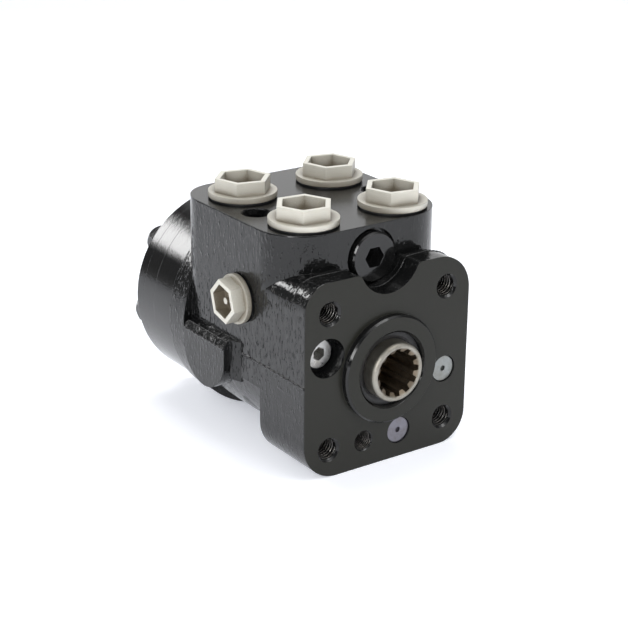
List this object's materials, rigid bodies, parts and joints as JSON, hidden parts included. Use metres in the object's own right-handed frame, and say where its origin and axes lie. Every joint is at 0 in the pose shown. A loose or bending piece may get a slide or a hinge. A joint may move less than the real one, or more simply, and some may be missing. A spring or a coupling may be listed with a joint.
{
  "type": "orbital steering unit",
  "caption": "Hydrostatic steering unit with a square column flange, splined input hub, capped ports on top and an orbiting gear set behind.",
  "frame": {"origin": "middle of the steering column face, where the input axis crosses it", "axes": "-Y out of the column face, +Y along the input axis to the end cover, +Z out of the port face, +X to the right seen from the column"},
  "size_m": [0.0954, 0.1417, 0.1114],
  "materials": {
    "black_paint": "gloss black paint over cast iron and steel",
    "machined_steel": "ground and turned",
    "plated_steel": "zinc plated",
    "spring_steel": "oiled",
    "seal_rubber": "smooth",
    "cap_plastic": "moulded, off-white",
    "cage_brass": "stamped",
    "seal_copper": "soft copper ring"
  },
  "bodies": {
    "unit": {"housing": "black_paint", "distributor_plate": "black_paint", "gear_ring": "black_paint", "end_cover": "black_paint", "cover_bolts": "black_paint", "pin_bolt": "black_paint", "bolt_washers": "black_paint", "check_plug": "black_paint", "outer_thrust_race": "machined_steel", "relief_seat": "machined_steel", "suction_pins": "machined_steel", "shock_plug_right": "plated_steel", "shock_plug_bottom": "plated_steel", "relief_spring": "spring_steel", "shock_spring_right": "spring_steel", "shock_spring_bottom": "spring_steel", "check_spring": "spring_steel", "dust_seal": "seal_rubber", "shaft_seal": "seal_rubber", "plate_o_ring": "seal_rubber", "ring_o_ring": "seal_rubber", "cover_o_ring": "seal_rubber", "port_cap_seals": "seal_rubber", "side_port_cap_seal": "seal_rubber", "port_cap_front_left": "cap_plastic", "port_cap_front_right": "cap_plastic", "port_cap_rear_left": "cap_plastic", "port_cap_rear_right": "cap_plastic", "side_port_cap": "cap_plastic", "check_plug_seal": "seal_copper"},
    "valve_sleeve": {"sleeve": "machined_steel", "cross_pin": "machined_steel", "spring_ring": "machined_steel", "centring_springs": "spring_steel", "inner_thrust_race": "machined_steel"},
    "valve_spool": {"spool": "machined_steel"},
    "thrust_bearing_cage": {"thrust_cage": "cage_brass", "thrust_needles": "machined_steel"},
    "orbit_spacer": {"spacer": "machined_steel"},
    "gear_rotor": {"rotor": "machined_steel"},
    "cardan": {"cardan_shaft": "machined_steel"},
    "relief_adjuster": {"relief_screw": "plated_steel"},
    "relief_valve_cone": {"relief_cone": "machined_steel"},
    "shock_ball_r": {"shock_ball_right": "machined_steel"},
    "shock_ball_b": {"shock_ball_bottom": "machined_steel"},
    "check_valve_ball": {"check_ball": "machined_steel"},
    "suction_ball_l": {"suction_ball_left": "machined_steel"},
    "suction_ball_r": {"suction_ball_right": "machined_steel"}
  },
  "joints": [
    {"name": "sleeve_spin", "type": "hinge", "parent": "unit", "child": "valve_sleeve", "pos_m": [0, 0.05, 0], "axis": [0, 1, 0], "continuous": true},
    {"name": "spool_twist", "type": "hinge", "parent": "valve_sleeve", "child": "valve_spool", "pos_m": [0, 0.05, 0], "axis": [0, 1, 0], "range_deg": [-10, 10], "stiffness_Nm_per_rad": 8, "deforming": ["centring_springs"]},
    {"name": "bearing_spin", "type": "hinge", "parent": "unit", "child": "thrust_bearing_cage", "pos_m": [0, 0.0135, 0], "axis": [0, 1, 0], "continuous": true},
    {"name": "gear_orbit", "type": "hinge", "parent": "unit", "child": "orbit_spacer", "pos_m": [0, 0.12, 0], "axis": [0, 1, 0], "continuous": true},
    {"name": "rotor_spin", "type": "hinge", "parent": "orbit_spacer", "child": "gear_rotor", "pos_m": [0, 0.1178, -0.0035], "axis": [0, 1, 0], "continuous": true},
    {"name": "cardan_spin", "type": "hinge", "parent": "orbit_spacer", "child": "cardan", "pos_m": [0, 0.05103, 0], "axis": [0, 0.9986, -0.0529], "continuous": true},
    {"name": "relief_adjust", "type": "hinge", "parent": "unit", "child": "relief_adjuster", "pos_m": [-0.0302, 0.012, 0.0108], "axis": [0, 1, 0], "range_deg": [-180, 180]},
    {"name": "relief_lift", "type": "slide", "parent": "unit", "child": "relief_valve_cone", "axis": [0, -1, 0], "range_m": [0, 0.0015], "stiffness_N_per_m": 3000, "springref_m": -0.001, "deforming": ["relief_spring"]},
    {"name": "shock_lift_right", "type": "slide", "parent": "unit", "child": "shock_ball_r", "axis": [0, -1, 0], "range_m": [0, 0.0015], "stiffness_N_per_m": 3000, "springref_m": -0.001, "deforming": ["shock_spring_right"]},
    {"name": "shock_lift_bottom", "type": "slide", "parent": "unit", "child": "shock_ball_b", "axis": [0, -1, 0], "range_m": [0, 0.0015], "stiffness_N_per_m": 3000, "springref_m": -0.001, "deforming": ["shock_spring_bottom"]},
    {"name": "check_lift", "type": "slide", "parent": "unit", "child": "check_valve_ball", "axis": [0, -1, 0], "range_m": [0, 0.0015], "stiffness_N_per_m": 300, "springref_m": -0.001, "deforming": ["check_spring"]},
    {"name": "suction_lift_left", "type": "slide", "parent": "unit", "child": "suction_ball_l", "axis": [0, 1, 0], "range_m": [0, 0.0015]},
    {"name": "suction_lift_right", "type": "slide", "parent": "unit", "child": "suction_ball_r", "axis": [0, 1, 0], "range_m": [0, 0.0015]}
  ],
  "couplings": [
    {"joint": "bearing_spin", "follows": "sleeve_spin", "ratio": 0.5},
    {"joint": "gear_orbit", "follows": "sleeve_spin", "ratio": -6},
    {"joint": "rotor_spin", "follows": "sleeve_spin", "ratio": 7},
    {"joint": "cardan_spin", "follows": "sleeve_spin", "ratio": 7}
  ]
}
